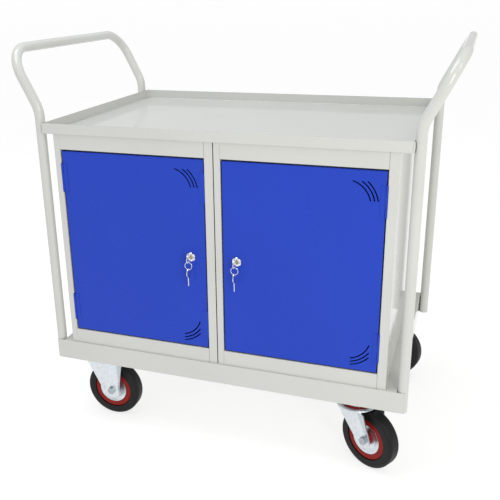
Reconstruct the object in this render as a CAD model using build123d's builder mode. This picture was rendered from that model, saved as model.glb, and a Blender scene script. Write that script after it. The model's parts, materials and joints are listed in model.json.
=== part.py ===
"""Two-door cupboard trolley on castors, with tubular push handles at both ends.

Millimetres. +X to the right, +Y to the back, +Z up. The origin is on the floor
under the middle of the whole trolley, keys in the locks included.
"""

from build123d import *
import os
from math import atan2, cos, degrees, radians, sin, sqrt, tan

# ---------------------------------------------------------------- dimensions
# Heights above the floor
BASE_BOTTOM = 190.0  # lower edge of the base's lips, and of the tubes
BASE_TOP = 245.5  # deck that the cupboards stand on
TRAY_BOTTOM = 831.0  # top of the cupboards
TRAY_TOP = 858.0  # upper edge of the tray's lip

# Plan of the base and tray
DEPTH = 625.0
DECK_HALF = 460.3  # half-width of the deck and tray, which fit between the tubes
LIP_HALF = 479.0  # half-width of the front and back lips, which cover the tubes
SHEET = 1.5
FOLD_R = 2.5  # outside of the folds in the base and tray
CORNER_R = 4.5  # vertical corners of the tray

# Keys, which are the part that stands out furthest in front
BOW_REACH = 25.0  # from the face of the base to the edge of the bow
BOW_R = 12.5
BOW_HOLE_R = 2.5
BOW_HOLE_EDGE = 5.5  # hole centre from the edge of the bow
BOW_HOLE_ANGLE = 250.0  # hole of the key in the lock, low on its bow
SPARE_HOLE_ANGLE = 180.0  # hole of the spare key, at the end of its bow
KEY_REACH = BOW_REACH - (BOW_R - BOW_HOLE_EDGE) * cos(radians(BOW_HOLE_ANGLE))
FRONT = (KEY_REACH - DEPTH) / 2
BACK = FRONT + DEPTH

# End frames: one bent tube each
TUBE_R = 12.7
TUBE_WALL = 1.5
POST_X = DECK_HALF + TUBE_R
POST_INSET = SHEET + TUBE_R  # tube axis behind the face of the lip
BEND_Z = 889.0  # where the posts start to lean outwards
LEAN = 26.7  # degrees from the vertical
LEAN_LENGTH = 166.0  # from the bend to the axis of the top bar
BEND_R = 80.0
HANDLE_R = 75.0

# Channels under the deck that carry the castors
CHANNEL_BOTTOM = 195.0
CHANNEL_WIDTH = 145.0
CHANNEL_SHEET = 3.0
FIXED_X = -344.0
SWIVEL_X = 356.0
CASTOR_INSET = 67.0  # castor centres from the front and back of the base

# Cupboards
UNIT_WIDTH = 431.0
UNIT_GAP = 2.6
UNIT_SHEET = 1.2
FRAME_INSET = 4.0  # face of the cupboards behind the face of the base
UNIT_INSET = 8.0  # back of the cupboards in front of the back of the base
STILE_LEFT = 16.0
STILE_RIGHT = 22.0
RAIL_HEIGHT = 39.0
REVEAL = 23.2  # depth of the frame members
STOP_WIDTH = 10.0  # flange behind the edge of the door
FRAME_FOLD_R = 1.5
FRAME_Y = FRONT + FRAME_INSET
STOP_Y = FRAME_Y + REVEAL - UNIT_SHEET
UNIT_BACK = BACK - UNIT_INSET

# Doors
DOOR_GAP = 2.8
DOOR_TOP_GAP = 4.3
DOOR_RECESS = 2.0
DOOR_DEPTH = 18.0
DOOR_FLANGE = 12.0
DOOR_FOLD_R = 1.8
DOOR_Y = FRAME_Y + DOOR_RECESS  # face of the doors
OPENING_LOW = BASE_TOP + RAIL_HEIGHT
OPENING_HIGH = TRAY_BOTTOM - RAIL_HEIGHT
DOOR_LOW = OPENING_LOW + DOOR_GAP
DOOR_HIGH = OPENING_HIGH - DOOR_TOP_GAP

# Ventilation slots: concentric arcs, measured from the corner of the door
VENT_RADII = (60.0, 69.0, 77.0)
VENT_WIDTH = 3.0
VENT_TOP_CENTRE = (93.0, 83.5)  # from the right edge, below the top edge
VENT_TOP_SPAN = (26.5, 69.5)  # below the top edge
VENT_LOW_CENTRE = (78.0, 89.0)  # from the right edge, above the bottom edge
VENT_LOW_SPAN = (21.0, 64.0)  # from the right edge

# Hinges, and the blanking plates of the same size
HINGE_HEIGHT = 75.0
HINGE_MIDDLES = (353.5, 718.0)
KNUCKLE_R = 2.5
PIN_R = 1.5
PIN_BORE_R = 1.55
LEAF = 1.2
LEAF_FACE = 1.0  # thickness of the leaf on the face of the door
LEAF_WIDTH = 12.0
LEAF_DEPTH = 19.0
LEAF_OVERLAP = 1.0
NOTCH_R = 3.0
KNUCKLE_GAP = 0.4
HINGE_Y = DOOR_Y - LEAF_FACE
BEAD_R = 1.0

# Locks and keys
LOCK_Z = 537.0
LOCK_INSET_LEFT = 39.0  # from the right edge of the left door
LOCK_INSET_RIGHT = 36.0  # from the left edge of the right door
BEZEL_R = 12.0
BEZEL_FLUTES = 6
FLUTE_R = 2.6
FLUTE_START = 0.0  # puts a lobe at the top
BEZEL_DEPTH = 4.5
BEZEL_EDGE = 1.2
BARREL_R = 9.0
BARREL_LENGTH = 21.0
LOCK_HOLE_R = 9.2
LOCK_NUT_AF = 24.0
LOCK_NUT_HEIGHT = 4.0
THREAD_CLEAR = 0.03
CYLINDER_R = 5.5
CYLINDER_BORE_R = 5.55
CYLINDER_FRONT = 3.0  # in front of the face of the door
CAM_Y = DOOR_Y + 22.0
CAM_THICKNESS = 2.0
CAM_WIDTH = 14.0
LOCK_SCREW_R = 2.5
LOCK_SCREW_HEAD_R = 4.5
LOCK_SCREW_HEAD = 2.5
LOCK_SCREW_DEPTH = 8.0
LOCK_SCREW_CLEAR = 0.1
LOCK_SCREW_TIP = 1.0  # from the end of the screw to the bottom of its hole
KEY_THICKNESS = 2.0
KEY_BLADE = 6.5
KEY_BLADE_LENGTH = 20.0
KEY_SLOT_DEPTH = 15.0
KEY_NECK = 7.5
KEY_NECK_LENGTH = 2.5  # from the bow to the shoulder
KEY_TIP_CLEAR = 1.0
SLOT_CLEAR = 0.15
RING_R = 9.3
RING_WIRE_R = 0.75
RING_CLEAR = 0.2

# Castors
WHEEL_R = 80.0
TYRE_WIDTH = 37.0
TYRE_SHOULDER = 8.6
RIM_R = 56.7
RIM_HALF = 16.5
RIM_ROUND = 4.0
RIM_DISH_R = 41.5
HUB_HALF = 20.5
HUB_R = 16.0
WEB_HALF = 10.0
GUARD_R = 40.5
GUARD_SHEET = 1.2
GUARD_NECK_R = 26.0
HUB_CLEAR = 0.2
SLEEVE_R = 10.0
SLEEVE_BORE_R = 10.06
LEG_INNER = 22.0  # inside face of a leg from the middle of the wheel
LEG_SHEET = 3.5
LEG_REACH = 70.0  # wide enough for the sides of every leg
AXLE_R = 6.0
AXLE_HEAD = 7.0
AXLE_HEAD_AF = 19.0
TRAIL = 47.0
FRONT_HEADING = -30.0  # of the front swivel castor, degrees from +X
BACK_HEADING = -15.0
PLATE_LENGTH = 135.0
PLATE_WIDTH = 110.0
BRACKET_PLATE_WIDTH = 118.0
PLATE_SHEET = 4.0
PLATE_CORNER_R = 8.0
BOLT_SPAN_X = 105.0
BOLT_SPAN_Y = 80.0
BOLT_R = 5.0
BOLT_HOLE_R = 5.5
BOLT_HEAD_AF = 17.0
BOLT_HEAD = 6.4
NUT_HEIGHT = 8.0
BOLT_TIP = 3.0
CUP_R = 40.0
CUP_SHEET = 5.0
CUP_DEPTH = 20.1
CUP_CLEAR = 0.4
SEAL_R = 42.5
SEAL_ROUND = 1.5
CROWN_R = 54.0
CROWN_SHEET = 4.0
CROWN_ROUND = 2.5
CROWN_DROP = 24.5  # top of the crown below the underside of the plate
BOSS_TOP_CLEAR = 1.0
KINGPIN_R = 6.0
KINGPIN_BORE_R = 6.06
KINGPIN_HEAD_R = 11.0
KINGPIN_HEAD = 3.0
BRACKET_TOP_HALF = 54.0
BRACKET_END_R = 25.0
BRACKET_FLAT = 21.0  # half-width of the flat middle of the leg
BRACKET_FLARE = 45.0  # angle of its sides from the flat
FORK_TOP_LOW = -40.0  # back and front edges of the leg at the crown
FORK_TOP_HIGH = 57.0
FORK_END_R = 20.0
FORK_FLAT = 14.0
FORK_FLARE = 25.0

PLATE_BOTTOM = CHANNEL_BOTTOM - PLATE_SHEET
SIDES = (("left", -1), ("right", 1))

os.makedirs("parts", exist_ok=True)


def save(builder, name):
    """Label a finished piece and write its STEP file."""
    builder.part.label = name
    export_step(builder.part, f"parts/{name}.step")
    return builder.part


def box_sketch(x0, y0, x1, y1):
    """Rectangle between two corners, in the sketch being built."""
    with Locations(((x0 + x1) / 2, (y0 + y1) / 2)):
        Rectangle(x1 - x0, y1 - y0)


# ------------------------------------------------------------------ chassis
def build_end_frame(name, side):
    """Bent tube: two posts that lean outwards into a handle."""
    lean_x = LEAN_LENGTH * sin(radians(LEAN))
    bar_z = BEND_Z + LEAN_LENGTH * cos(radians(LEAN))
    post_x = side * POST_X
    bar_x = side * (POST_X + lean_x)
    front = FRONT + POST_INSET
    back = BACK - POST_INSET
    with BuildPart() as end_frame:
        with BuildLine() as route:
            FilletPolyline(
                (post_x, front, BASE_BOTTOM),
                (post_x, front, BEND_Z),
                (bar_x, front, bar_z),
                (bar_x, back, bar_z),
                (post_x, back, BEND_Z),
                (post_x, back, BASE_BOTTOM),
                radius=(BEND_R, HANDLE_R, HANDLE_R, BEND_R),
            )
        with BuildSketch(Plane.XY.offset(BASE_BOTTOM)):
            with Locations((post_x, front)):
                Circle(TUBE_R)
                Circle(TUBE_R - TUBE_WALL, mode=Mode.SUBTRACT)
        sweep()
    save(end_frame, name)


def build_base_deck():
    """Folded deck with four lips; the front and back lips run past the ends."""
    with BuildPart() as base_deck:
        with BuildSketch(Plane.XY.offset(BASE_BOTTOM)):
            box_sketch(-DECK_HALF, FRONT, DECK_HALF, BACK)
        extrude(amount=BASE_TOP - BASE_BOTTOM)
        fillet(base_deck.edges().group_by(Axis.Z)[-1], radius=FOLD_R)
        open_face = base_deck.faces().sort_by(Axis.Z)[0]
        offset(amount=-SHEET, openings=open_face)
        with BuildSketch(Plane.XY.offset(BASE_BOTTOM)):
            box_sketch(-LIP_HALF, FRONT, LIP_HALF, FRONT + SHEET)
            box_sketch(-LIP_HALF, BACK - SHEET, LIP_HALF, BACK)
        extrude(amount=BASE_TOP - BASE_BOTTOM)
    save(base_deck, "base_deck")


def build_channel(name, x):
    """Channel from front to back under the deck, its web drilled for two castors."""
    low = FRONT + SHEET
    high = BACK - SHEET
    top = BASE_TOP - SHEET
    half = CHANNEL_WIDTH / 2
    with BuildPart() as channel:
        with BuildSketch(Plane.XY.offset(CHANNEL_BOTTOM)):
            box_sketch(x - half, low, x + half, high)
        extrude(amount=top - CHANNEL_BOTTOM)
        with BuildSketch(Plane.XY.offset(CHANNEL_BOTTOM + CHANNEL_SHEET)):
            box_sketch(x - half + CHANNEL_SHEET, low, x + half - CHANNEL_SHEET, high)
        extrude(amount=top - CHANNEL_BOTTOM, mode=Mode.SUBTRACT)
        for y in castor_rows():
            with BuildSketch(Plane.XY.offset(CHANNEL_BOTTOM)):
                with Locations((x, y)):
                    with GridLocations(BOLT_SPAN_X, BOLT_SPAN_Y, 2, 2):
                        Circle(BOLT_HOLE_R)
            extrude(amount=CHANNEL_SHEET, mode=Mode.SUBTRACT)
    save(channel, name)


def castor_rows():
    """Y of the front and back castors."""
    return FRONT + CASTOR_INSET, BACK - CASTOR_INSET


def build_tray():
    """Open tray with an upright lip all round."""
    with BuildPart() as top_tray:
        with BuildSketch(Plane.XY.offset(TRAY_BOTTOM)):
            box_sketch(-DECK_HALF, FRONT, DECK_HALF, BACK)
        extrude(amount=TRAY_TOP - TRAY_BOTTOM)
        fillet(top_tray.edges().filter_by(Axis.Z), radius=CORNER_R)
        fillet(top_tray.edges().group_by(Axis.Z)[0], radius=FOLD_R)
        open_face = top_tray.faces().sort_by(Axis.Z)[-1]
        offset(amount=-SHEET, openings=open_face)
    save(top_tray, "top_tray")


# ---------------------------------------------------------------- cupboards
def unit_span(side):
    """Left and right faces of one cupboard."""
    middle = side * (UNIT_WIDTH + UNIT_GAP) / 2
    return middle - UNIT_WIDTH / 2, middle + UNIT_WIDTH / 2


def opening_span(side):
    """Left and right edges of one door opening."""
    left, right = unit_span(side)
    return left + STILE_LEFT, right - STILE_RIGHT


def hinge_x(side):
    """The left door hangs on its left edge and the right door on its right."""
    low, high = opening_span(side)
    return low + DOOR_GAP / 2 if side < 0 else high - DOOR_GAP / 2


def cut_hinge_notches(side):
    """Clearance round the knuckles, in the part being built."""
    for middle in HINGE_MIDDLES:
        height = HINGE_HEIGHT + 2 * KNUCKLE_GAP
        with BuildSketch(Plane.XY.offset(middle - height / 2)) as notch:
            with Locations((hinge_x(side), HINGE_Y)):
                Circle(NOTCH_R)
        extrude(notch.sketch, amount=height, mode=Mode.SUBTRACT)


def build_shell(name, side):
    """Top, bottom and two sides of a cupboard, folded from one sheet."""
    left, right = unit_span(side)
    y = FRAME_Y + UNIT_SHEET
    length = UNIT_BACK - y
    with BuildPart() as shell:
        with BuildSketch(Plane((0, y, 0), x_dir=(1, 0, 0), z_dir=(0, -1, 0))):
            box_sketch(left, BASE_TOP, right, TRAY_BOTTOM)
            with BuildSketch(mode=Mode.SUBTRACT):
                box_sketch(
                    left + UNIT_SHEET,
                    BASE_TOP + UNIT_SHEET,
                    right - UNIT_SHEET,
                    TRAY_BOTTOM - UNIT_SHEET,
                )
        extrude(amount=-length)
    save(shell, name)


def build_back(name, side):
    """Back sheet of a cupboard, set between the walls of the shell."""
    left, right = unit_span(side)
    with BuildPart() as back:
        with BuildSketch(Plane.XY.offset(BASE_TOP + UNIT_SHEET)):
            box_sketch(left + UNIT_SHEET, UNIT_BACK - UNIT_SHEET, right - UNIT_SHEET, UNIT_BACK)
        extrude(amount=TRAY_BOTTOM - BASE_TOP - 2 * UNIT_SHEET)
    save(back, name)


def build_stile(name, side, outer, edge):
    """Upright of the front frame, from the outer face to the edge of the opening."""
    inward = 1 if edge > outer else -1
    with BuildPart() as stile:
        with BuildSketch(Plane.XY.offset(BASE_TOP)):
            box_sketch(min(outer, edge), FRAME_Y, max(outer, edge), FRAME_Y + UNIT_SHEET)
        extrude(amount=TRAY_BOTTOM - BASE_TOP)
        with BuildSketch(Plane.XY.offset(BASE_TOP + UNIT_SHEET)):
            rear = sorted((edge - inward * UNIT_SHEET, edge))
            box_sketch(rear[0], FRAME_Y, rear[1], FRAME_Y + REVEAL)
        extrude(amount=TRAY_BOTTOM - BASE_TOP - 2 * UNIT_SHEET)
        folds = stile.edges().filter_by(Axis.Z).group_by(Axis.Y)[0].sort_by(Axis.X)
        fillet(folds[-1] if inward > 0 else folds[0], radius=FRAME_FOLD_R)
        with BuildSketch(Plane.XY.offset(OPENING_LOW)):
            stop = sorted((edge - inward * UNIT_SHEET, edge + inward * STOP_WIDTH))
            box_sketch(stop[0], STOP_Y, stop[1], FRAME_Y + REVEAL)
        extrude(amount=OPENING_HIGH - OPENING_LOW)
        if abs(edge - hinge_x(side)) < DOOR_GAP:
            cut_hinge_notches(side)
    save(stile, name)


def build_rails(name, side):
    """Top and bottom members of the front frame, between the stiles."""
    left, right = opening_span(side)
    with BuildPart() as rails:
        for outer, edge, inward in (
            (BASE_TOP, OPENING_LOW, 1),
            (TRAY_BOTTOM, OPENING_HIGH, -1),
        ):
            with BuildSketch(Plane.YZ.offset(left)):
                face = sorted((outer, edge))
                box_sketch(FRAME_Y, face[0], FRAME_Y + UNIT_SHEET, face[1])
                rear = sorted((edge - inward * UNIT_SHEET, edge))
                box_sketch(FRAME_Y, rear[0], FRAME_Y + REVEAL, rear[1])
            extrude(amount=right - left)
            folds = rails.edges().filter_by(Axis.X).group_by(Axis.Y)[0].sort_by(Axis.Z)
            fillet(folds.sort_by(lambda fold: abs(fold.center().Z - edge))[0], radius=FRAME_FOLD_R)
            with BuildSketch(Plane.YZ.offset(left + STOP_WIDTH)):
                stop = sorted((edge - inward * UNIT_SHEET, edge + inward * STOP_WIDTH))
                box_sketch(STOP_Y, stop[0], FRAME_Y + REVEAL, stop[1])
            extrude(amount=right - left - 2 * STOP_WIDTH)
    save(rails, name)


# -------------------------------------------------------------------- doors
def door_span(side):
    """Left and right edges of one door."""
    left, right = opening_span(side)
    return left + DOOR_GAP, right - DOOR_GAP


def lock_x(side):
    """Each lock is beside the free edge of its door."""
    left, right = door_span(side)
    return right - LOCK_INSET_LEFT if side < 0 else left + LOCK_INSET_RIGHT


def face_plane(y):
    """Upright plane facing the front; its sketches use x and z as they are."""
    return Plane((0, y, 0), x_dir=(1, 0, 0), z_dir=(0, -1, 0))


def cut_slot(centre, radius, start, end):
    """One arc-shaped slot with round ends, angles in degrees."""
    with BuildSketch(face_plane(DOOR_Y + UNIT_SHEET)) as slot:
        with BuildLine():
            arc = CenterArc(centre, radius, start, end - start)
        SlotArc(arc, VENT_WIDTH)
    extrude(slot.sketch, amount=UNIT_SHEET, mode=Mode.SUBTRACT)


def cut_vents(right):
    """Three slots in the upper and three in the lower right corner of a door."""
    x = right - VENT_TOP_CENTRE[0]
    z = DOOR_HIGH - VENT_TOP_CENTRE[1]
    for radius in VENT_RADII:
        rise_high = VENT_TOP_CENTRE[1] - VENT_TOP_SPAN[0]
        rise_low = VENT_TOP_CENTRE[1] - VENT_TOP_SPAN[1]
        start = degrees(atan2(rise_low, sqrt(radius**2 - rise_low**2)))
        reach = max(radius**2 - rise_high**2, 0)
        end = degrees(atan2(rise_high, sqrt(reach)))
        cut_slot((x, z), radius, start, end)
    x = right - VENT_LOW_CENTRE[0]
    z = DOOR_LOW + VENT_LOW_CENTRE[1]
    for radius in VENT_RADII:
        run_high = VENT_LOW_CENTRE[0] - VENT_LOW_SPAN[0]
        run_low = VENT_LOW_CENTRE[0] - VENT_LOW_SPAN[1]
        drop = max(radius**2 - run_high**2, 0)
        end = degrees(atan2(-sqrt(drop), run_high))
        start = degrees(atan2(-sqrt(radius**2 - run_low**2), run_low))
        cut_slot((x, z), radius, start, end)


def build_door(name, side):
    """Pan-shaped door with returned edges, open at the back inside a flange."""
    left, right = door_span(side)
    with BuildPart() as door:
        with BuildSketch(Plane.XY.offset(DOOR_LOW)):
            box_sketch(left, DOOR_Y, right, DOOR_Y + DOOR_DEPTH)
        extrude(amount=DOOR_HIGH - DOOR_LOW)
        fillet(door.edges().group_by(Axis.Y)[0], radius=DOOR_FOLD_R)
        offset(amount=-UNIT_SHEET, openings=door.faces().sort_by(Axis.Y)[-1])
        with BuildSketch(face_plane(DOOR_Y + DOOR_DEPTH)):
            box_sketch(left, DOOR_LOW, right, DOOR_HIGH)
            with BuildSketch(mode=Mode.SUBTRACT):
                box_sketch(
                    left + DOOR_FLANGE,
                    DOOR_LOW + DOOR_FLANGE,
                    right - DOOR_FLANGE,
                    DOOR_HIGH - DOOR_FLANGE,
                )
        extrude(amount=UNIT_SHEET)
        with BuildSketch(face_plane(DOOR_Y + UNIT_SHEET)):
            with Locations((lock_x(side), LOCK_Z)):
                Circle(LOCK_HOLE_R)
        extrude(amount=UNIT_SHEET, mode=Mode.SUBTRACT)
        cut_vents(right)
        cut_hinge_notches(side)
    save(door, name)


def knuckle_spans(middle):
    """Bottom, middle and top thirds of a hinge, with a small gap between them."""
    low = middle - HINGE_HEIGHT / 2
    third = HINGE_HEIGHT / 3
    bottom = (low, low + third - KNUCKLE_GAP / 2)
    centre = (low + third + KNUCKLE_GAP / 2, low + 2 * third - KNUCKLE_GAP / 2)
    top = (low + 2 * third + KNUCKLE_GAP / 2, low + HINGE_HEIGHT)
    return bottom, centre, top


def build_door_leaves(name, side):
    """Leaf on the face of the door, with the middle knuckle of each hinge."""
    x = hinge_x(side)
    free = -side  # direction from the hinge to the free edge
    with BuildPart() as leaves:
        for middle in HINGE_MIDDLES:
            low, high = knuckle_spans(middle)[1]
            with BuildSketch(Plane.XY.offset(low)):
                with Locations((x, HINGE_Y)):
                    Circle(KNUCKLE_R)
                ends = sorted((x, x + free * (NOTCH_R + LEAF_OVERLAP)))
                box_sketch(ends[0], HINGE_Y, ends[1], DOOR_Y)
                with Locations((x, HINGE_Y)):
                    Circle(PIN_BORE_R, mode=Mode.SUBTRACT)
            extrude(amount=high - low)
            with BuildSketch(Plane.XY.offset(middle - HINGE_HEIGHT / 2)):
                ends = sorted((x + free * NOTCH_R, x + free * (DOOR_GAP / 2 + LEAF_WIDTH)))
                box_sketch(ends[0], HINGE_Y, ends[1], DOOR_Y)
            extrude(amount=HINGE_HEIGHT)
    save(leaves, name)


def build_frame_leaves():
    """Leaves in the door gaps, with the outer knuckles and the pins."""
    with BuildPart() as frame_leaves:
        for _, side in SIDES:
            x = hinge_x(side)
            wall = sorted((x + side * (DOOR_GAP / 2 - LEAF), x + side * DOOR_GAP / 2))
            for middle in HINGE_MIDDLES:
                spans = knuckle_spans(middle)
                for low, high in (spans[0], spans[2]):
                    with BuildSketch(Plane.XY.offset(low)):
                        with Locations((x, HINGE_Y)):
                            Circle(KNUCKLE_R)
                        box_sketch(wall[0], HINGE_Y, wall[1], HINGE_Y + NOTCH_R + LEAF_OVERLAP)
                        with Locations((x, HINGE_Y)):
                            Circle(PIN_BORE_R, mode=Mode.SUBTRACT)
                    extrude(amount=high - low)
                with BuildSketch(Plane.XY.offset(middle - HINGE_HEIGHT / 2)):
                    box_sketch(wall[0], HINGE_Y + NOTCH_R, wall[1], HINGE_Y + LEAF_DEPTH)
                extrude(amount=HINGE_HEIGHT)
                with BuildSketch(Plane.XY.offset(middle - HINGE_HEIGHT / 2)):
                    with Locations((x, HINGE_Y)):
                        Circle(PIN_R)
                extrude(amount=HINGE_HEIGHT)
    save(frame_leaves, "frame_hinge_leaves")


def build_blanking_plates():
    """Plates that close the unused hinge positions on the left door's free edge."""
    edge = door_span(-1)[1]
    with BuildPart() as plates:
        for middle in HINGE_MIDDLES:
            with BuildSketch(Plane.XY.offset(middle - HINGE_HEIGHT / 2)):
                box_sketch(edge - LEAF_WIDTH, HINGE_Y, edge + BEAD_R, DOOR_Y)
                with Locations((edge + BEAD_R, HINGE_Y + BEAD_R)):
                    Circle(BEAD_R)
            extrude(amount=HINGE_HEIGHT)
    save(plates, "door_left_blanking_plates")


# -------------------------------------------------------------------- locks
def build_lock_body(name, x):
    """Fluted bezel and threaded barrel in one, with its back nut."""
    front = DOOR_Y - BEZEL_DEPTH
    with BuildPart() as body:
        with BuildSketch(face_plane(DOOR_Y)):
            with Locations((x, LOCK_Z)):
                Circle(BEZEL_R)
        extrude(amount=BEZEL_DEPTH)
        rim = body.faces().sort_by(Axis.Y)[0].edges()
        chamfer(rim, length=BEZEL_EDGE)
        with BuildSketch(face_plane(DOOR_Y)):
            with Locations((x, LOCK_Z)):
                with PolarLocations(BEZEL_R + FLUTE_R / 3, BEZEL_FLUTES, start_angle=FLUTE_START):
                    Circle(FLUTE_R)
        extrude(amount=BEZEL_DEPTH, mode=Mode.SUBTRACT)
        with BuildSketch(face_plane(DOOR_Y)):
            with Locations((x, LOCK_Z)):
                Circle(BARREL_R)
        extrude(amount=-BARREL_LENGTH)
        with BuildSketch(face_plane(front)):
            with Locations((x, LOCK_Z)):
                Circle(CYLINDER_BORE_R)
        extrude(amount=-BEZEL_DEPTH - BARREL_LENGTH, mode=Mode.SUBTRACT)
        with BuildSketch(face_plane(DOOR_Y + UNIT_SHEET)):
            with Locations((x, LOCK_Z)):
                RegularPolygon(LOCK_NUT_AF / 2, 6, major_radius=False)
                Circle(BARREL_R + THREAD_CLEAR, mode=Mode.SUBTRACT)
        extrude(amount=-LOCK_NUT_HEIGHT)
    save(body, name)


def build_cylinder(name, x):
    """Turning plug with the key slot in front and a screw hole at the back."""
    front = DOOR_Y - CYLINDER_FRONT
    with BuildPart() as cylinder:
        with BuildSketch(face_plane(front)):
            with Locations((x, LOCK_Z)):
                Circle(CYLINDER_R)
        extrude(amount=front - CAM_Y)
        with BuildSketch(face_plane(front)):
            with Locations((x, LOCK_Z)):
                Rectangle(KEY_THICKNESS + 2 * SLOT_CLEAR, KEY_BLADE + 2 * SLOT_CLEAR)
        extrude(amount=-KEY_SLOT_DEPTH, mode=Mode.SUBTRACT)
        with BuildSketch(face_plane(CAM_Y)):
            with Locations((x, LOCK_Z)):
                Circle(LOCK_SCREW_R)
        extrude(amount=LOCK_SCREW_DEPTH, mode=Mode.SUBTRACT)
    save(cylinder, name)


def build_cam(name, x, reach):
    """Cam that points up when unlocked, and the screw that holds it."""
    with BuildPart() as cam:
        with BuildSketch(face_plane(CAM_Y)):
            with Locations((x, LOCK_Z)):
                Circle(CAM_WIDTH / 2)
            box_sketch(x - CAM_WIDTH / 2, LOCK_Z, x + CAM_WIDTH / 2, LOCK_Z + reach)
            with Locations((x, LOCK_Z)):
                Circle(LOCK_SCREW_R + LOCK_SCREW_CLEAR, mode=Mode.SUBTRACT)
        extrude(amount=-CAM_THICKNESS)
        tip = cam.edges().filter_by(Axis.Y).group_by(Axis.Z)[-1]
        fillet(tip, radius=CAM_WIDTH / 4)
        with BuildSketch(face_plane(CAM_Y + CAM_THICKNESS)):
            with Locations((x, LOCK_Z)):
                Circle(LOCK_SCREW_HEAD_R)
        extrude(amount=-LOCK_SCREW_HEAD)
        with BuildSketch(face_plane(CAM_Y + CAM_THICKNESS)):
            with Locations((x, LOCK_Z)):
                Circle(LOCK_SCREW_R - THREAD_CLEAR)
        extrude(amount=CAM_THICKNESS + LOCK_SCREW_DEPTH - LOCK_SCREW_TIP)
    save(cam, name)


def bow_hole(angle):
    """Centre of the hole in a bow, measured from the middle of the bow."""
    radius = BOW_R - BOW_HOLE_EDGE
    return radius * cos(radians(angle)), radius * sin(radians(angle))


def key_outline(length, hole_angle):
    """Flat key in the sketch being built: bow centred on the origin, blade along +X."""
    Circle(BOW_R)
    shoulder = BOW_R + KEY_NECK_LENGTH
    box_sketch(0, -KEY_NECK / 2, shoulder, KEY_NECK / 2)
    box_sketch(0, -KEY_BLADE / 2, shoulder + length, KEY_BLADE / 2)
    with Locations(bow_hole(hole_angle)):
        Circle(BOW_HOLE_R, mode=Mode.SUBTRACT)


def bow_y():
    """Y of the middle of the bow of a key that is in its lock."""
    return FRONT - BOW_REACH + BOW_R


def build_key(name, x):
    """Key in the lock, its plate upright."""
    shoulder = bow_y() + BOW_R + KEY_NECK_LENGTH
    blade = DOOR_Y - CYLINDER_FRONT + KEY_SLOT_DEPTH - KEY_TIP_CLEAR - shoulder
    plane = Plane((x - KEY_THICKNESS / 2, bow_y(), LOCK_Z), x_dir=(0, 1, 0), z_dir=(1, 0, 0))
    with BuildPart() as key:
        with BuildSketch(plane):
            key_outline(blade, BOW_HOLE_ANGLE)
        extrude(amount=KEY_THICKNESS)
    save(key, name)


def ring_top():
    """Y and z of the wire where the ring lies in the bow of the key."""
    y, z = bow_hole(BOW_HOLE_ANGLE)
    return bow_y() + y, LOCK_Z + z - BOW_HOLE_R + RING_WIRE_R + RING_CLEAR


def build_ring(name, x):
    """Wire ring through the bow of the key, hanging flat to the front."""
    y, z = ring_top()
    with BuildPart() as ring:
        with BuildSketch(Plane((x, y, z), x_dir=(0, 1, 0), z_dir=(1, 0, 0))):
            Circle(RING_WIRE_R)
        revolve(axis=Axis((x, y, z - RING_R), (0, 1, 0)))
    save(ring, name)


def build_spare_key(name, x):
    """Second key, hanging edge-on from the bottom of the ring."""
    y, z = ring_top()
    hole_z = z - 2 * RING_R - BOW_HOLE_R + RING_WIRE_R + RING_CLEAR
    bow_z = hole_z - BOW_R + BOW_HOLE_EDGE
    plane = Plane((x - KEY_THICKNESS / 2, y, bow_z), x_dir=(0, 0, -1), z_dir=(1, 0, 0))
    with BuildPart() as key:
        with BuildSketch(plane):
            key_outline(KEY_BLADE_LENGTH, SPARE_HOLE_ANGLE)
        extrude(amount=KEY_THICKNESS)
    save(key, name)


# ------------------------------------------------------------------ castors
def side_plane(centre, heading, outset):
    """Upright plane along a wheel; x is the heading, y is up, z towards -Y."""
    a = radians(heading)
    normal = (sin(a), -cos(a), 0)
    origin = (centre[0] + outset * normal[0], centre[1] + outset * normal[1], 0)
    return Plane(origin, x_dir=(cos(a), sin(a), 0), z_dir=normal)


def axle_centre(centre, heading, trail):
    """Wheel centre in plan, one trail ahead of the castor's centre."""
    a = radians(heading)
    return centre[0] + trail * cos(a), centre[1] + trail * sin(a)


def wheel_axis(centre, heading):
    """Axis of a wheel in space."""
    a = radians(heading)
    return Axis((centre[0], centre[1], WHEEL_R), (sin(a), -cos(a), 0))


def wheel_plane(centre, heading):
    """Plane through the axle; x runs along the axle and y up from its axis."""
    a = radians(heading)
    origin = (centre[0], centre[1], WHEEL_R)
    return Plane(origin, x_dir=(sin(a), -cos(a), 0), z_dir=(-cos(a), -sin(a), 0))


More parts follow.
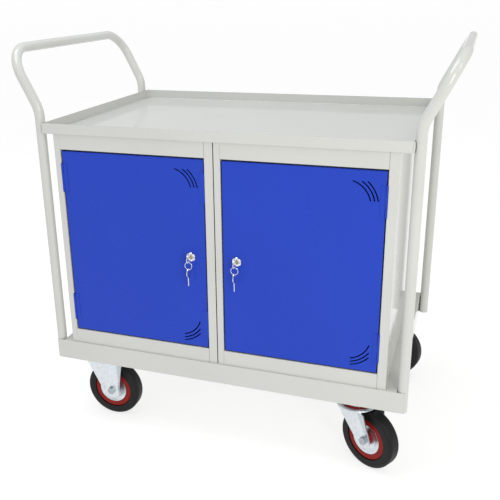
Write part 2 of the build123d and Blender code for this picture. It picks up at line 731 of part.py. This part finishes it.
def build_wheel(name, centre, heading):
    """Tyre, wheel centre and two thread guards."""
    plane = wheel_plane(centre, heading)
    axis = wheel_axis(centre, heading)
    half = TYRE_WIDTH / 2
    with BuildPart() as tyre:
        with BuildSketch(plane):
            box_sketch(-half, RIM_R, half, WHEEL_R)
        revolve(axis=axis)
        shoulders = tyre.edges().filter_by(GeomType.CIRCLE)
        shoulders = shoulders.filter_by(lambda edge: edge.radius > WHEEL_R - 1)
        fillet(shoulders, radius=TYRE_SHOULDER)
    save(tyre, f"{name}_tyre")
    with BuildPart() as rim:
        with BuildSketch(plane):
            box_sketch(-RIM_HALF, RIM_DISH_R, RIM_HALF, RIM_R)
            box_sketch(-WEB_HALF, HUB_R, WEB_HALF, RIM_DISH_R)
            box_sketch(-HUB_HALF, SLEEVE_BORE_R, HUB_HALF, HUB_R)
        revolve(axis=axis)
        edges = rim.edges().filter_by(GeomType.CIRCLE)
        fillet(edges.filter_by(lambda edge: edge.radius > RIM_DISH_R + 1), radius=RIM_ROUND)
    save(rim, f"{name}_rim")
    with BuildPart() as guards:
        for hand in (-1, 1):
            with BuildSketch(plane) as dish:
                with BuildLine() as outline:
                    Polyline(
                        (hand * RIM_HALF, GUARD_R),
                        (hand * (RIM_HALF - GUARD_SHEET), GUARD_R),
                        (hand * WEB_HALF, GUARD_NECK_R),
                        (hand * WEB_HALF, HUB_R + HUB_CLEAR),
                        (hand * (WEB_HALF + GUARD_SHEET), HUB_R + HUB_CLEAR),
                        (hand * (WEB_HALF + GUARD_SHEET), GUARD_NECK_R),
                        close=True,
                    )
                make_face()
            revolve(dish.sketch, axis=axis)
    save(guards, f"{name}_guards")


def build_axle(name, centre, heading):
    """Axle bolt with its head, nut and bearing sleeve."""
    outside = LEG_INNER + LEG_SHEET
    with BuildPart() as axle:
        with BuildSketch(side_plane(centre, heading, outside)):
            with Locations((0, WHEEL_R)):
                RegularPolygon(AXLE_HEAD_AF / 2, 6, major_radius=False)
        extrude(amount=AXLE_HEAD)
        with BuildSketch(side_plane(centre, heading, outside)):
            with Locations((0, WHEEL_R)):
                Circle(AXLE_R)
        extrude(amount=-2 * outside - AXLE_HEAD - BOLT_TIP)
        with BuildSketch(side_plane(centre, heading, -outside)):
            with Locations((0, WHEEL_R)):
                RegularPolygon(AXLE_HEAD_AF / 2, 6, major_radius=False)
                Circle(AXLE_R + THREAD_CLEAR, mode=Mode.SUBTRACT)
        extrude(amount=-AXLE_HEAD)
        with BuildSketch(side_plane(centre, heading, -LEG_INNER)):
            with Locations((0, WHEEL_R)):
                Circle(SLEEVE_R)
                Circle(AXLE_R + THREAD_CLEAR, mode=Mode.SUBTRACT)
        extrude(amount=2 * LEG_INNER)
    save(axle, name)


def plate_sketch(centre, width):
    """Castor plate with its four bolt holes, in the sketch being built."""
    with Locations(centre):
        RectangleRounded(PLATE_LENGTH, width, PLATE_CORNER_R)
        with GridLocations(BOLT_SPAN_X, BOLT_SPAN_Y, 2, 2):
            Circle(BOLT_HOLE_R, mode=Mode.SUBTRACT)


def leg_plans(centre, heading, top, flat, flare):
    """Plans of two legs: a flat middle, and sides bent outwards by the flare."""
    a = radians(heading)
    rise = (LEG_REACH - flat) * tan(radians(flare))
    plane = Plane((centre[0], centre[1], top), x_dir=(cos(a), sin(a), 0), z_dir=(0, 0, -1))
    with BuildSketch(plane) as plans:
        for hand in (-1, 1):
            near = hand * LEG_INNER
            far = hand * (LEG_INNER + LEG_SHEET)
            with BuildLine() as outline:
                Polyline(
                    (-LEG_REACH, near + hand * rise),
                    (-flat, near),
                    (flat, near),
                    (LEG_REACH, near + hand * rise),
                    (LEG_REACH, far + hand * rise),
                    (flat, far),
                    (-flat, far),
                    (-LEG_REACH, far + hand * rise),
                    close=True,
                )
            make_face(outline.edges())
    return plans.sketch


def leg_side(centre, heading, trail, end_r, corners):
    """Side view of a leg: round about the axle, and widening to its top corners."""
    with BuildSketch(side_plane(centre, heading, LEG_REACH)) as side:
        with Locations((trail, WHEEL_R)):
            Circle(end_r)
        with BuildLine() as outline:
            Polyline(*corners, close=True)
        make_face(outline.edges())
        with Locations((trail, WHEEL_R)):
            Circle(AXLE_R + THREAD_CLEAR, mode=Mode.SUBTRACT)
    return side.sketch


def build_bracket(name, centre):
    """Fixed castor bracket: plate and two legs, pressed from one sheet."""
    corners = (
        (-BRACKET_TOP_HALF, PLATE_BOTTOM),
        (BRACKET_TOP_HALF, PLATE_BOTTOM),
        (BRACKET_END_R, WHEEL_R),
        (-BRACKET_END_R, WHEEL_R),
    )
    with BuildPart() as bracket:
        plans = leg_plans(centre, 0, PLATE_BOTTOM, BRACKET_FLAT, BRACKET_FLARE)
        extrude(plans, amount=PLATE_BOTTOM - WHEEL_R + BRACKET_END_R)
        side = leg_side(centre, 0, 0, BRACKET_END_R, corners)
        extrude(side, amount=-2 * LEG_REACH, mode=Mode.INTERSECT)
        with BuildSketch(Plane.XY.offset(PLATE_BOTTOM)):
            plate_sketch(centre, BRACKET_PLATE_WIDTH)
        extrude(amount=PLATE_SHEET)
    save(bracket, name)


def build_swivel_plate(name, centre):
    """Swivel castor plate with the cup of its ball race and the king pin."""
    crown_low = PLATE_BOTTOM - CROWN_DROP - CROWN_SHEET
    with BuildPart() as plate:
        with BuildSketch(Plane.XY.offset(PLATE_BOTTOM)):
            plate_sketch(centre, PLATE_WIDTH)
        extrude(amount=PLATE_SHEET)
        with BuildSketch(Plane.XY.offset(PLATE_BOTTOM)):
            with Locations(centre):
                Circle(CUP_R)
                Circle(CUP_R - CUP_SHEET, mode=Mode.SUBTRACT)
        extrude(amount=-CUP_DEPTH)
        with BuildSketch(Plane.XY.offset(PLATE_BOTTOM)):
            with Locations(centre):
                Circle(KINGPIN_R)
        extrude(amount=-(PLATE_BOTTOM - crown_low + KINGPIN_HEAD))
        with BuildSketch(Plane.XY.offset(crown_low - CUP_CLEAR)):
            with Locations(centre):
                Circle(KINGPIN_HEAD_R)
        extrude(amount=-KINGPIN_HEAD)
    save(plate, name)


def build_fork(name, centre, heading):
    """Swivel fork: crown with its race boss, and two legs that slope to the axle."""
    crown_top = PLATE_BOTTOM - CROWN_DROP
    crown_low = crown_top - CROWN_SHEET
    drop = crown_low - WHEEL_R
    a = radians(heading)
    slope = Vector(TRAIL * cos(a), TRAIL * sin(a), -drop)
    corners = (
        (FORK_TOP_LOW, crown_low),
        (FORK_TOP_HIGH, crown_low),
        (TRAIL + FORK_END_R, WHEEL_R),
        (TRAIL - FORK_END_R * cos(radians(45)), WHEEL_R - FORK_END_R * sin(radians(45))),
    )
    with BuildPart() as fork:
        plans = leg_plans(centre, heading, crown_low, FORK_FLAT, FORK_FLARE)
        extrude(plans, amount=slope.length * (1 + FORK_END_R / drop), dir=slope.normalized())
        side = leg_side(centre, heading, TRAIL, FORK_END_R, corners)
        extrude(side, amount=-2 * LEG_REACH, mode=Mode.INTERSECT)
        with BuildSketch(Plane.XY.offset(crown_low)) as crown:
            with Locations(centre):
                Circle(CROWN_R)
        extrude(crown.sketch, amount=CROWN_SHEET)
        fillet(fork.edges().group_by(Axis.Z)[-1], radius=CROWN_ROUND)
        with BuildSketch(Plane.XY.offset(crown_low)) as boss:
            with Locations(centre):
                Circle(CUP_R - CUP_SHEET - CUP_CLEAR)
        extrude(boss.sketch, amount=CROWN_DROP + CROWN_SHEET - BOSS_TOP_CLEAR)
        with BuildSketch(Plane.XY.offset(PLATE_BOTTOM)) as bore:
            with Locations(centre):
                Circle(KINGPIN_BORE_R)
        extrude(bore.sketch, amount=-(CROWN_DROP + CROWN_SHEET), mode=Mode.SUBTRACT)
    save(fork, name)


def build_seal(name, centre):
    """Dust seal on the crown, round the boss and under the cup."""
    low = PLATE_BOTTOM - CROWN_DROP
    high = PLATE_BOTTOM - CUP_DEPTH - CUP_CLEAR
    with BuildPart() as seal:
        with BuildSketch(Plane.XY.offset(low)):
            with Locations(centre):
                Circle(SEAL_R)
                Circle(CUP_R - CUP_SHEET - CUP_CLEAR, mode=Mode.SUBTRACT)
        extrude(amount=high - low)
        edges = seal.edges().filter_by(GeomType.CIRCLE)
        fillet(edges.filter_by(lambda edge: edge.radius > CUP_R), radius=SEAL_ROUND)
    save(seal, name)


def build_castor_bolts():
    """Hexagon bolts and nuts that hold the castor plates to the channels."""
    centres = [(x, y) for x in (FIXED_X, SWIVEL_X) for y in castor_rows()]
    nut_low = CHANNEL_BOTTOM + CHANNEL_SHEET
    with BuildPart() as bolts:
        for centre in centres:
            with BuildSketch(Plane.XY.offset(PLATE_BOTTOM)):
                with Locations(centre):
                    with GridLocations(BOLT_SPAN_X, BOLT_SPAN_Y, 2, 2):
                        RegularPolygon(BOLT_HEAD_AF / 2, 6, major_radius=False)
            extrude(amount=-BOLT_HEAD)
            with BuildSketch(Plane.XY.offset(PLATE_BOTTOM)):
                with Locations(centre):
                    with GridLocations(BOLT_SPAN_X, BOLT_SPAN_Y, 2, 2):
                        Circle(BOLT_R)
            extrude(amount=nut_low + NUT_HEIGHT + BOLT_TIP - PLATE_BOTTOM)
            with BuildSketch(Plane.XY.offset(nut_low)):
                with Locations(centre):
                    with GridLocations(BOLT_SPAN_X, BOLT_SPAN_Y, 2, 2):
                        RegularPolygon(BOLT_HEAD_AF / 2, 6, major_radius=False)
                        Circle(BOLT_R + THREAD_CLEAR, mode=Mode.SUBTRACT)
            extrude(amount=NUT_HEIGHT)
    save(bolts, "castor_bolts")


# -------------------------------------------------------------------- build
build_base_deck()
build_tray()
build_channel("channel_left", FIXED_X)
build_channel("channel_right", SWIVEL_X)
build_frame_leaves()
build_blanking_plates()
build_castor_bolts()

for hand, side in SIDES:
    unit = f"cupboard_{hand}"
    low, high = unit_span(side)
    open_low, open_high = opening_span(side)
    build_end_frame(f"end_frame_{hand}", side)
    build_shell(f"{unit}_shell", side)
    build_back(f"{unit}_back", side)
    build_stile(f"{unit}_stile_left", side, low, open_low)
    build_stile(f"{unit}_stile_right", side, high, open_high)
    build_rails(f"{unit}_rails", side)
    build_door(f"door_{hand}_panel", side)
    build_door_leaves(f"door_{hand}_hinge_leaves", side)
    lock = f"lock_{hand}"
    x = lock_x(side)
    free_edge = door_span(side)[1] if side < 0 else door_span(side)[0]
    cam_reach = abs(free_edge - x) + DOOR_GAP + STOP_WIDTH / 2
    build_lock_body(f"{lock}_body", x)
    build_cylinder(f"{lock}_cylinder", x)
    build_cam(f"{lock}_cam", x, cam_reach)
    build_key(f"{lock}_key", x)
    build_ring(f"{lock}_key_ring", x)
    build_spare_key(f"{lock}_spare_key", x)

for row, y, heading in zip(("front", "back"), castor_rows(), (FRONT_HEADING, BACK_HEADING)):
    fixed = f"castor_{row}_left"
    build_bracket(f"{fixed}_bracket", (FIXED_X, y))
    build_axle(f"{fixed}_axle", (FIXED_X, y), 0)
    build_wheel(fixed, (FIXED_X, y), 0)
    swivel = f"castor_{row}_right"
    wheel = axle_centre((SWIVEL_X, y), heading, TRAIL)
    build_swivel_plate(f"{swivel}_plate", (SWIVEL_X, y))
    build_fork(f"{swivel}_fork", (SWIVEL_X, y), heading)
    build_seal(f"{swivel}_seal", (SWIVEL_X, y))
    build_axle(f"{swivel}_axle", wheel, heading)
    build_wheel(swivel, wheel, heading)
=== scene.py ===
"""Looks of the cupboard trolley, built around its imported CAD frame. Metres throughout."""

import json
import math

import bmesh
import bpy
from mathutils import Matrix, Vector


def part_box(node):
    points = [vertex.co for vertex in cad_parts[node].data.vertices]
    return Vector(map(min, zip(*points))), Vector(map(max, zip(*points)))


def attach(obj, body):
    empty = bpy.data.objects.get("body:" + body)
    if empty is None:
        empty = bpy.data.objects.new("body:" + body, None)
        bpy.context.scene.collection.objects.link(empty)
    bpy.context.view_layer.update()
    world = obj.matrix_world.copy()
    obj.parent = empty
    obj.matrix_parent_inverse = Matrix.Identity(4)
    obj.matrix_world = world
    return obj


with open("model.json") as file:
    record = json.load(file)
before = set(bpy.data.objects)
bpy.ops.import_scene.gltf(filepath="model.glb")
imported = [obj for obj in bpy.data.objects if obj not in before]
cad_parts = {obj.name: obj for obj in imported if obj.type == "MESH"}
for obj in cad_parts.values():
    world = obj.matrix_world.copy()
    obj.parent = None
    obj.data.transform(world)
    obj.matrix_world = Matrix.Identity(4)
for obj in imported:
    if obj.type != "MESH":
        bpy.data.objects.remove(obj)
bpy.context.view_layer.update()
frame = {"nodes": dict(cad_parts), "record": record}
NODES = frame["nodes"]

# Paint
GREY = (0.575, 0.580, 0.555)
BLUE = (0.016, 0.053, 0.47)
PEEL = 420.0  # orange-peel bumps per metre
PAINTED_SHADE_REACH = 0.008  # how far apart the walls of a gap may be for painted shade to fall in it
PAINTED_SHADE_KEEP = 0.03  # share of its colour that the deepest gap keeps under the painted shade
PAINTED_SHADE_OPENNESS = 0.34  # surfaces more open than this get no painted shade and keep their colour
MOULD_EDGE = 0.0006  # rounding of the edges of plated and moulded parts

# Light
WARM = (1.0, 0.98, 0.90)
COOL = (0.92, 0.96, 1.0)
WORLD = 0.69
FLOOR_GLOW = (0.73, 0.73, 0.73, 1)
FLOOR_HALF = 150.0

# Weld beads
BEAD_R = 0.0023
BEAD_PITCH = 0.0031  # from one ripple to the next
BEAD_STEP = 0.0008  # from one ring of points to the next
BEAD_SIDES = 12
BEAD_FRONT_INSET = 0.0019
BEAD_BACK_INSET = 0.003
BEAD_END = 0.0005  # from the end of a bead to the edge of its lip


# ---------------------------------------------------------------- materials
class Shader:
    """One Principled material with short helpers for its node tree."""

    def __init__(self, name, **sockets):
        self.material = bpy.data.materials.new(name)
        self.material.use_nodes = True
        self.tree = self.material.node_tree
        self.bsdf = self.tree.nodes["Principled BSDF"]
        for key, value in sockets.items():
            self.bsdf.inputs[key.replace("_", " ")].default_value = value
        self.coords = self.tree.nodes.new("ShaderNodeTexCoord")

    def link(self, source, target):
        self.tree.links.new(source, target)

    def noise(self, scale, detail=2.0, roughness=0.5):
        """Noise in object space; scale counts features per metre."""
        node = self.tree.nodes.new("ShaderNodeTexNoise")
        node.inputs["Scale"].default_value = scale
        node.inputs["Detail"].default_value = detail
        node.inputs["Roughness"].default_value = roughness
        self.link(self.coords.outputs["Object"], node.inputs["Vector"])
        return node.outputs["Fac"]

    def ramp(self, factor, stops):
        """Colour ramp over (position, colour) stops."""
        node = self.tree.nodes.new("ShaderNodeValToRGB")
        elements = node.color_ramp.elements
        while len(elements) < len(stops):
            elements.new(0.5)
        for element, (position, colour) in zip(elements, stops):
            element.position = position
            element.color = (*colour, 1)
        self.link(factor, node.inputs["Fac"])
        return node.outputs["Color"]

    def span(self, factor, low, high, full=1.0):
        """Map 0..full to low..high."""
        node = self.tree.nodes.new("ShaderNodeMapRange")
        node.inputs["From Max"].default_value = full
        node.inputs["To Min"].default_value = low
        node.inputs["To Max"].default_value = high
        self.link(factor, node.inputs["Value"])
        return node.outputs["Result"]

    def bump(self, height, strength, distance, below=None):
        """Bump from a height, on top of another normal if one is given; drives the shader."""
        node = self.tree.nodes.new("ShaderNodeBump")
        node.inputs["Strength"].default_value = strength
        node.inputs["Distance"].default_value = distance
        self.link(height, node.inputs["Height"])
        if below is not None:
            self.link(below, node.inputs["Normal"])
        self.link(node.outputs["Normal"], self.bsdf.inputs["Normal"])

    def soft_edges(self, radius):
        """Normal with a rounded highlight along folded and cut edges."""
        node = self.tree.nodes.new("ShaderNodeBevel")
        node.samples = 4
        node.inputs["Radius"].default_value = radius
        return node.outputs["Normal"]

    def painted_gap_shade(self, colour, distance, depth, corner):
        """Painted shade: darken a colour in narrow gaps by ambient occlusion; openness above
        corner keeps its colour.
        """
        node = self.tree.nodes.new("ShaderNodeAmbientOcclusion")
        node.samples = 6
        node.inputs["Distance"].default_value = distance
        shade = self.span(node.outputs["AO"], depth, 1.0, full=corner)
        mix = self.tree.nodes.new("ShaderNodeMixRGB")
        mix.blend_type = "MULTIPLY"
        mix.inputs["Fac"].default_value = 1.0
        self.link(colour, mix.inputs["Color1"])
        self.link(shade, mix.inputs["Color2"])
        return mix.outputs["Color"]


def tint(colour, gain):
    """Colour times a gain, kept to 1 at most."""
    return tuple(min(c * gain, 1) for c in colour)


def powder_coat(name, colour, roughness, gloss, edge=0.0012):
    """Glossy powder coat: faint orange peel, slight cloudiness and painted shade that darkens
    narrow gaps and joints.
    """
    s = Shader(name, Roughness=roughness, IOR=1.5, Specular_IOR_Level=gloss)
    clouds = s.noise(5.0, detail=3.0)
    stops = [(0.3, tint(colour, 0.975)), (0.7, tint(colour, 1.02))]
    # painted shade: the base colour is darkened where ambient occlusion finds narrow gaps
    shaded = s.painted_gap_shade(s.ramp(clouds, stops), PAINTED_SHADE_REACH, PAINTED_SHADE_KEEP, PAINTED_SHADE_OPENNESS)
    s.link(shaded, s.bsdf.inputs["Base Color"])
    sheen = s.span(s.noise(60.0), roughness * 0.9, roughness * 1.12)
    s.link(sheen, s.bsdf.inputs["Roughness"])
    s.bump(s.noise(PEEL), 0.03, 0.0004, below=s.soft_edges(edge))
    return s.material


def plated(name, colour, roughness):
    """Plated steel with a fine crystalline grain."""
    s = Shader(name, Metallic=1.0, Roughness=roughness)
    stops = [(0.3, tint(colour, 0.86)), (0.7, tint(colour, 1.06))]
    s.link(s.ramp(s.noise(140.0, detail=4.0), stops), s.bsdf.inputs["Base Color"])
    sheen = s.span(s.noise(70.0, detail=3.0), roughness * 0.75, roughness * 1.3)
    s.link(sheen, s.bsdf.inputs["Roughness"])
    s.bump(s.noise(900.0), 0.12, 0.0002, below=s.soft_edges(MOULD_EDGE))
    return s.material


def rubber(name, colour):
    """Solid black rubber with a little dust in its grain."""
    s = Shader(name, Roughness=0.5, IOR=1.52, Specular_IOR_Level=0.2)
    stops = [(0.35, colour), (0.75, tint(colour, 1.5))]
    dust = s.noise(45.0, detail=5.0, roughness=0.65)
    s.link(s.ramp(dust, stops), s.bsdf.inputs["Base Color"])
    s.link(s.span(s.noise(90.0, detail=3.0), 0.38, 0.62), s.bsdf.inputs["Roughness"])
    s.bump(s.noise(700.0, detail=3.0), 0.25, 0.0003)
    return s.material


def moulded(name, colour, roughness):
    """Moulded plastic with a fine surface."""
    s = Shader(name, Roughness=roughness, IOR=1.49, Specular_IOR_Level=0.15)
    stops = [(0.3, tint(colour, 0.9)), (0.7, tint(colour, 1.06))]
    s.link(s.ramp(s.noise(50.0, detail=3.0), stops), s.bsdf.inputs["Base Color"])
    s.bump(s.noise(1100.0), 0.12, 0.0002, below=s.soft_edges(MOULD_EDGE))
    return s.material


MATERIALS = {
    "frame_paint": powder_coat("grey_powder_coat", GREY, 0.07, 0.55),
    "door_paint": powder_coat("blue_powder_coat", BLUE, 0.28, 0.18, edge=0.0009),
    "lock_chrome": plated("bright_nickel", (0.86, 0.87, 0.88), 0.16),
    "lock_brass": plated("dull_brass", (0.50, 0.46, 0.24), 0.35),
    "key_steel": plated("key_nickel", (0.80, 0.81, 0.84), 0.22),
    "castor_zinc": plated("bright_zinc", (0.72, 0.76, 0.79), 0.30),
    "castor_red": moulded("red_plastic", (0.24, 0.011, 0.009), 0.28),
    "tyre_rubber": rubber("black_rubber", (0.008, 0.008, 0.0085)),
}
BOLT_ZINC = plated("bolt_zinc", (0.42, 0.46, 0.50), 0.26)
for row in frame["record"]["subparts"]:
    finish = MATERIALS[row["material_slot"]]
    if row["node"].endswith("_axle"):
        finish = BOLT_ZINC
    slots = NODES[row["node"]].data.materials
    slots.clear()
    slots.append(finish)


# -------------------------------------------------------------------- welds
def bead_rings(x, y, low, high):
    """Rings of points up a bead: rippled, a little wandering, and thinner at both ends."""
    count = round((high - low) / BEAD_STEP)
    rings = []
    for i in range(count + 1):
        height = (high - low) * i / count
        ripple = 0.07 * math.sin(math.tau * height / BEAD_PITCH)
        swell = 0.06 * math.sin(height * 410 + x * 90)
        taper = min(1.0, 0.45 + min(i, count - i) * 0.2)
        wander = 0.0003 * math.sin(height * 230 + y * 70)
        reach = BEAD_R * (1 + ripple + swell) * taper
        ring = []
        for j in range(BEAD_SIDES):
            angle = math.tau * j / BEAD_SIDES
            across = x + wander + reach * math.cos(angle)
            ring.append((across, y + reach * math.sin(angle), low + height))
        rings.append(ring)
    return rings


def add_weld(name, x, y, low, high):
    """Painted weld bead up the joint between the end of a lip and its tube."""
    mesh = bmesh.new()
    rings = []
    for ring in bead_rings(x, y, low, high):
        rings.append([mesh.verts.new(place) for place in ring])
    for below, above in zip(rings, rings[1:]):
        for j in range(BEAD_SIDES):
            k = (j + 1) % BEAD_SIDES
            mesh.faces.new((below[j], below[k], above[k], above[j]))
    mesh.faces.new(reversed(rings[0]))
    mesh.faces.new(rings[-1])
    for face in mesh.faces:
        face.smooth = True
    data = bpy.data.meshes.new(name)
    mesh.to_mesh(data)
    mesh.free()
    data.materials.append(MATERIALS["frame_paint"])
    bead = bpy.data.objects.new(name, data)
    bpy.context.scene.collection.objects.link(bead)
    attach(bead, "chassis")


def add_welds():
    """Beads at the four corners of the tray and of the base."""
    for part, node in (("tray", "top_tray"), ("base", "base_deck")):
        low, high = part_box(node)
        bottom, top = low[2] + BEAD_END, high[2] - BEAD_END
        for end, x in (("left", low[0]), ("right", high[0])):
            add_weld(f"weld_{part}_front_{end}", x, low[1] + BEAD_FRONT_INSET, bottom, top)
            add_weld(f"weld_{part}_back_{end}", x, high[1] - BEAD_BACK_INSET, bottom, top)


add_welds()


# ------------------------------------------------------------ floor and light
def add_floor():
    """Wide pale floor that fills the view."""
    mesh = bpy.data.meshes.new("floor")
    half = FLOOR_HALF
    corners = [(-half, -half, 0), (half, -half, 0), (half, half, 0), (-half, half, 0)]
    mesh.from_pydata(corners, [], [(0, 1, 2, 3)])
    floor = bpy.data.objects.new("floor", mesh)
    bpy.context.scene.collection.objects.link(floor)
    s = Shader("studio_floor", Roughness=0.8, Specular_IOR_Level=0.1, Emission_Strength=1)
    stops = [(0.4, (0.335, 0.335, 0.335)), (0.6, (0.345, 0.345, 0.345))]
    s.link(s.ramp(s.noise(3.0), stops), s.bsdf.inputs["Base Color"])
    s.bsdf.inputs["Emission Color"].default_value = FLOOR_GLOW
    mesh.materials.append(s.material)


def add_area_light(name, place, target, size, power, colour):
    """Rectangular soft light that faces its target."""
    light = bpy.data.lights.new(name, "AREA")
    light.shape = "RECTANGLE"
    light.size, light.size_y = size
    light.energy = power
    light.color = colour
    lamp = bpy.data.objects.new(name, light)
    lamp.location = place
    direction = Vector(target) - Vector(place)
    lamp.rotation_euler = direction.to_track_quat("-Z", "Y").to_euler()
    bpy.context.scene.collection.objects.link(lamp)


def add_world():
    """Even white surroundings."""
    world = bpy.data.worlds.new("studio")
    world.use_nodes = True
    background = world.node_tree.nodes["Background"]
    background.inputs["Color"].default_value = (1, 1, 1, 1)
    background.inputs["Strength"].default_value = WORLD
    bpy.context.scene.world = world


add_floor()
add_world()
add_area_light("front_softbox", (1.6, -2.1, 1.3), (0.3, 0, 0.6), (0.7, 1.4), 19, WARM)
add_area_light("right_softbox", (2.4, -0.9, 1.9), (0.5, 0, 0.9), (0.4, 1.0), 5, WARM)
add_area_light("top_softbox", (-0.6, -0.4, 3.0), (0, 0, 0.8), (1.8, 1.4), 30, COOL)


# ------------------------------------------------------------------- camera
def add_camera():
    """Camera at the right of the doors, a little above the tray."""
    focal, sensor = 51.75, 36.0
    azimuth, pitch, roll = 0.34982, 0.34062, 0.02118
    forward = Vector(
        (
            -math.sin(azimuth) * math.cos(pitch),
            math.cos(azimuth) * math.cos(pitch),
            -math.sin(pitch),
        )
    )
    level = Vector((math.cos(azimuth), math.sin(azimuth), 0))  # rightwards, before the roll
    down = forward.cross(level)
    right = math.cos(roll) * level + math.sin(roll) * down
    up = math.sin(roll) * level - math.cos(roll) * down
    data = bpy.data.cameras.new("camera")
    data.lens = focal
    data.sensor_width = sensor
    data.shift_x, data.shift_y = 0.0557, -0.0200
    data.dof.use_dof = False
    data.clip_end = 500
    camera = bpy.data.objects.new("camera", data)
    turn = Matrix((right, up, -forward)).transposed().to_4x4()
    place = (0.5879, -1.8537, 1.1786)
    camera.matrix_world = Matrix.Translation(place) @ turn
    bpy.context.scene.collection.objects.link(camera)
    bpy.context.scene.camera = camera


add_camera()
bpy.context.scene.view_settings.view_transform = "Standard"
